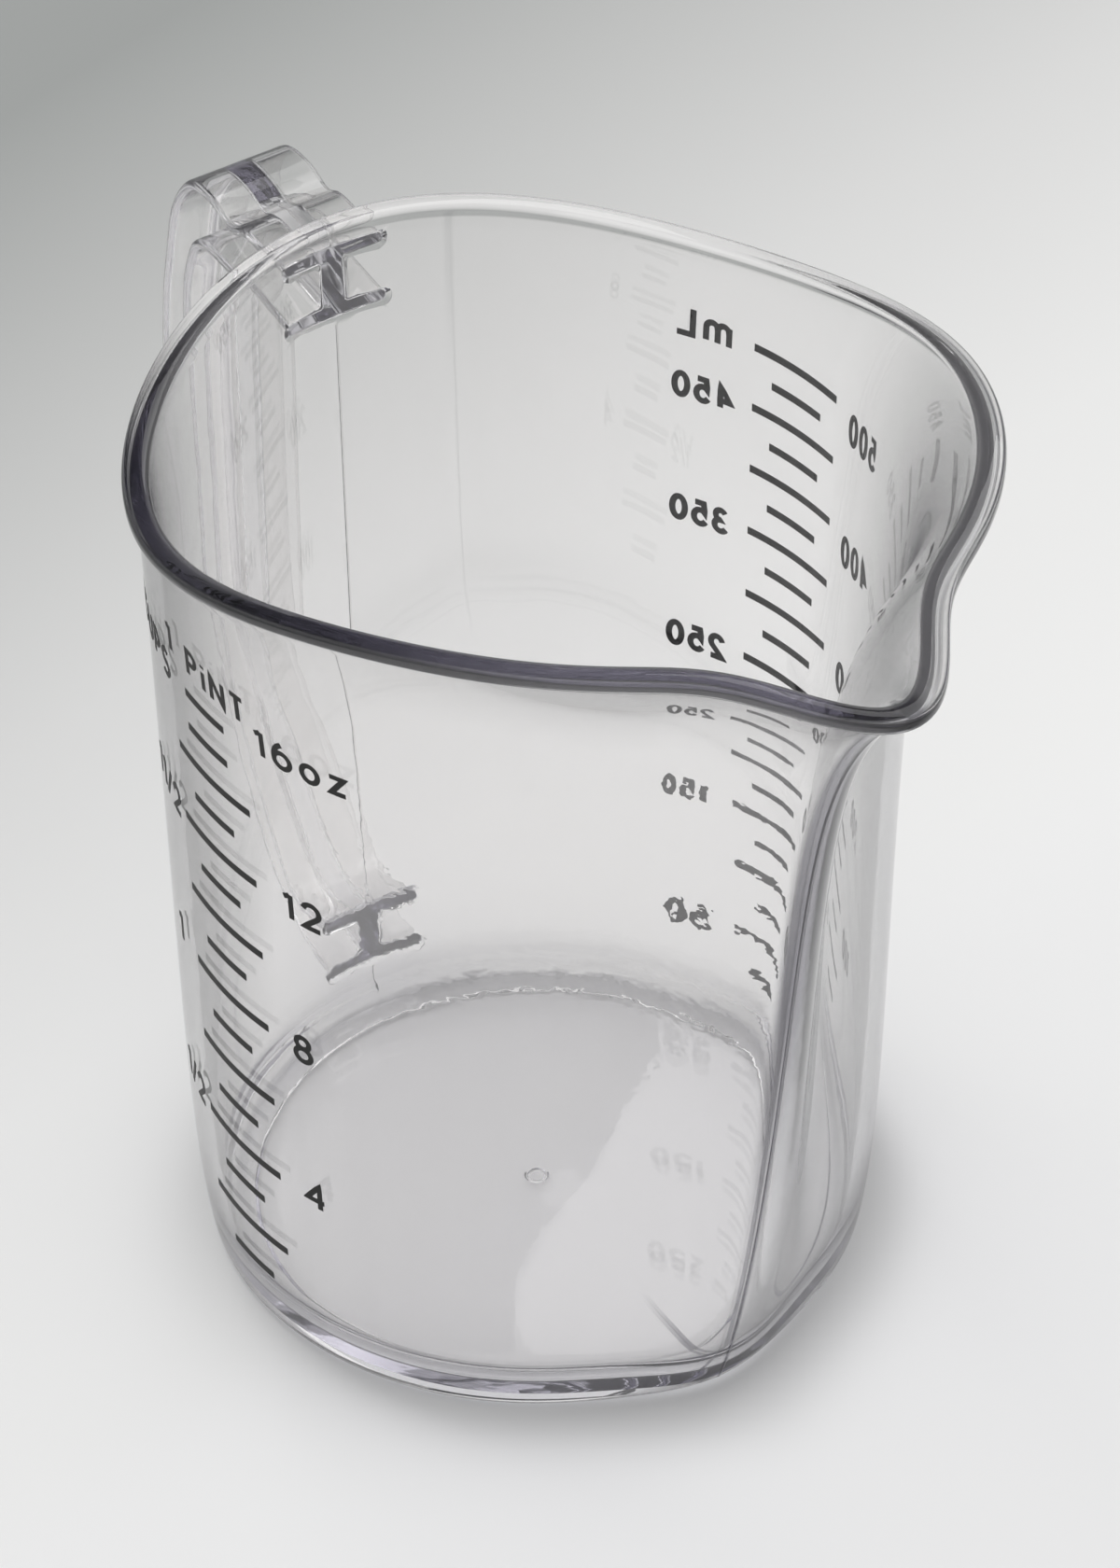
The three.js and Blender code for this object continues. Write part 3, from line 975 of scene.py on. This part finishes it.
glyphs = {
    "0": (0.62, [], [loop(0.31, 0.5, 0.31, 0.5)]),
    "1": (0.3, [[(0, 0.86), (0.16, 0.93), (0.24, 1)], [(0.27, 1), (0.27, 0)]], []),
    "2": (0.6, [bow(0.3, 0.7, 0.3, 0.3, 165, -35) + [(0, 0), (0.6, 0)]], []),
    "3": (0.6, [bow(0.29, 0.76, 0.26, 0.24, 150, -90) + bow(0.29, 0.27, 0.31, 0.27, 85, -155)], []),
    "4": (0.67, [[(0.51, 0), (0.51, 1), (0, 0.33), (0.67, 0.33)]], []),
    "5": (0.6, [[(0.55, 1), (0.12, 1), (0.04, 0.5)] + bow(0.28, 0.33, 0.32, 0.33, 125, -150)], []),
    "6": (0.62, [bow(0.5, 0.36, 0.5, 0.64, 108, 180)], [loop(0.31, 0.31, 0.31, 0.31)]),
    "8": (0.6, [], [loop(0.3, 0.77, 0.25, 0.23), loop(0.3, 0.27, 0.3, 0.27)]),
    "P": (0.55, [[(0, 0), (0, 1), (0.27, 1)] + bow(0.27, 0.74, 0.28, 0.26, 85, -90) + [(0, 0.48)]], []),
    "i": (0.1, [[(0.05, 0), (0.05, 0.74)], [(0.05, 0.93), (0.05, 1.03)]], []),
    "N": (0.66, [[(0, 0), (0, 1), (0.66, 0), (0.66, 1)]], []),
    "T": (0.6, [[(0, 1), (0.6, 1)], [(0.3, 1), (0.3, 0)]], []),
    "o": (0.58, [], [loop(0.29, 0.34, 0.29, 0.34)]),
    "z": (0.5, [[(0, 0.68), (0.5, 0.68), (0, 0), (0.5, 0)]], []),
    "m": (0.95, [
        [(0, 0), (0, 0.74)],
        [(0, 0.45)] + bow(0.24, 0.5, 0.24, 0.24, 150, 0) + [(0.48, 0)],
        [(0.48, 0.45)] + bow(0.72, 0.5, 0.24, 0.24, 150, 0) + [(0.96, 0)],
    ], []),
    "L": (0.6, [[(0, 1), (0, 0), (0.62, 0)]], []),
    "C": (0.62, [bow(0.36, 0.5, 0.36, 0.5, 45, 315, 20)], []),
    "U": (0.6, [[(0, 1)] + bow(0.3, 0.32, 0.3, 0.32, 180, 360) + [(0.6, 1)]], []),
    "S": (0.56, [bow(0.29, 0.75, 0.26, 0.25, 40, 270) + bow(0.28, 0.26, 0.28, 0.26, 85, -145)], []),
    "/": (0.5, [[(0, -0.05), (0.5, 1.05)]], []),
}


# Prints a word from its start, to the right of the scale's middle, and its base. The
# stretch widens every glyph, and the gap is left free after each one.
def print_word(name, azimuth, word, start, base, height, stretch, gap, pen):
    shape = bmesh.new()
    across = start + pen / 2
    tall = height - pen
    for letter in word:
        width, strokes, rings = glyphs[letter]
        for closed, lines in ((False, strokes), (True, rings)):
            for line in lines:
                places = [(across + x * tall * stretch, base + pen / 2 + y * tall) for x, y in line]
                ribbon(shape, azimuth, places, pen, closed)
        across += width * tall * stretch + pen + gap
    printed(name, shape)


light_pen = 0.72
twelve_row = 71.5                # height of a number's foot above the table
eight_row = 49.3
four_row = 26.0
print_word("print_pint", ounce_azimuth, "PiNT", -3.0, 98.6, 4.3, 0.95, 0.75, light_pen)
print_word("print_one_pint", ounce_azimuth, "1", -8.6, 98.6, 4.3, 0.95, 0.7, light_pen)
print_word("print_16_oz", ounce_azimuth, "16oz", 9.5, 95.3, 4.4, 1.0, 0.95, light_pen)
print_word("print_12_oz", ounce_azimuth, "12", 11.4, twelve_row, 4.4, 1.0, 0.95, light_pen)
print_word("print_8_oz", ounce_azimuth, "8", 11.3, eight_row, 4.4, 1.0, 0.95, light_pen)
print_word("print_4_oz", ounce_azimuth, "4", 11.3, four_row, 4.4, 1.0, 0.95, light_pen)

# The cup scale: its numbers and its word, in the same ink, to the left of the ounce
# marks. They stand beside the marks for 4, 8, 12 and 16 ounces and have none of their own.
print_word("print_cups", ounce_azimuth, "2CUPS", -25.5, 92.9, 4.4, 0.95, 0.8, light_pen)
print_word("print_one_and_half_cups", ounce_azimuth, "1", -19.2, twelve_row, 4.4, 1.0, 0.8, light_pen)
print_word("print_half_over_one", ounce_azimuth, "1/2", -16.6, twelve_row, 4.4, 0.9, 0.35, light_pen)
print_word("print_one_cup", ounce_azimuth, "1", -14.4, eight_row, 4.4, 1.0, 0.8, light_pen)
print_word("print_half_cup", ounce_azimuth, "1/2", -16.6, four_row, 4.4, 0.9, 0.35, light_pen)

# The millilitre scale, on the other side of the spout, in the same ink: a mark for every
# 25 millilitres and numbers to its left and right. The fifties and the unit are heavier.
millilitre_step = 25
millilitre_marks = 20
millilitre_azimuth = 101.3       # degrees round from the spout
millilitre_long = 13.9
millilitre_short = 8.25
heavy_pen = 0.82
hundreds_pen = 0.72


def millilitre_length(number):
    return millilitre_long if number % 2 == 0 else millilitre_short


print_marks(
    millilitre_azimuth,
    millilitre_step,
    millilitre_marks,
    millilitre_length,
    lambda number: f"millilitre_mark_{number * millilitre_step:03d}",
)
hundreds_start = -16.6           # narrow numbers on the spout's side of the marks
hundreds_drop = 4.3              # from a mark down to its number's foot
fifties_start = 9.7              # wide numbers on the other side
fifties_drop = 2.4
hundreds = range(100, 501, 100)
for volume, z in zip(hundreds, levels_for(hundreds)):
    print_word(
        f"print_{volume}_ml", millilitre_azimuth, str(volume),
        hundreds_start, z - hundreds_drop, 4.6, 0.55, 0.35, hundreds_pen,
    )
fifties = range(50, 451, 100)
for volume, z in zip(fifties, levels_for(fifties)):
    print_word(
        f"print_{volume}_ml", millilitre_azimuth, str(volume),
        fifties_start, z - fifties_drop, 3.9, 0.88, 0.4, heavy_pen,
    )
print_word("print_ml", millilitre_azimuth, "mL", 10.2, 97.7, 4.4, 0.92, 1.0, heavy_pen)
